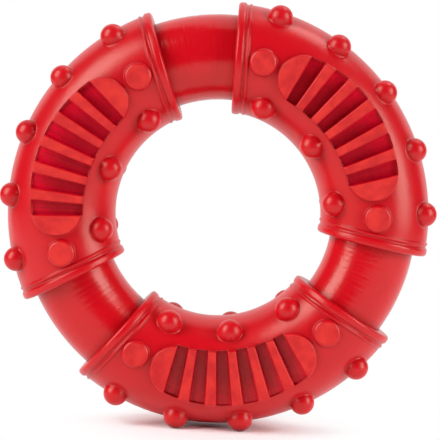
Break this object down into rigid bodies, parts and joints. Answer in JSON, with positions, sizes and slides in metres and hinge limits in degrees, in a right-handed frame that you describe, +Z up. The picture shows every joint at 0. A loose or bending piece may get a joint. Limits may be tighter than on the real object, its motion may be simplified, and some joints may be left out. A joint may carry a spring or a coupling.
{
  "type": "chew ring",
  "caption": "Thick red rubber dog chew ring: a smooth core with studded, ribbed chew sleeves moulded over it, each ending in a raised collar.",
  "frame": {"origin": "on the floor under the middle of the standing ring, midway between its two faces", "axes": "+Z up, the ring's axis along Y with the pictured face towards -Y, +X to the right of that face"},
  "size_m": [0.1476, 0.0392, 0.1454],
  "materials": {
    "red_rubber": "satin moulded rubber"
  },
  "bodies": {
    "root": {"core_ring": "red_rubber", "sleeve_bottom": "red_rubber", "sleeve_right": "red_rubber", "sleeve_left": "red_rubber"}
  },
  "joints": []
}
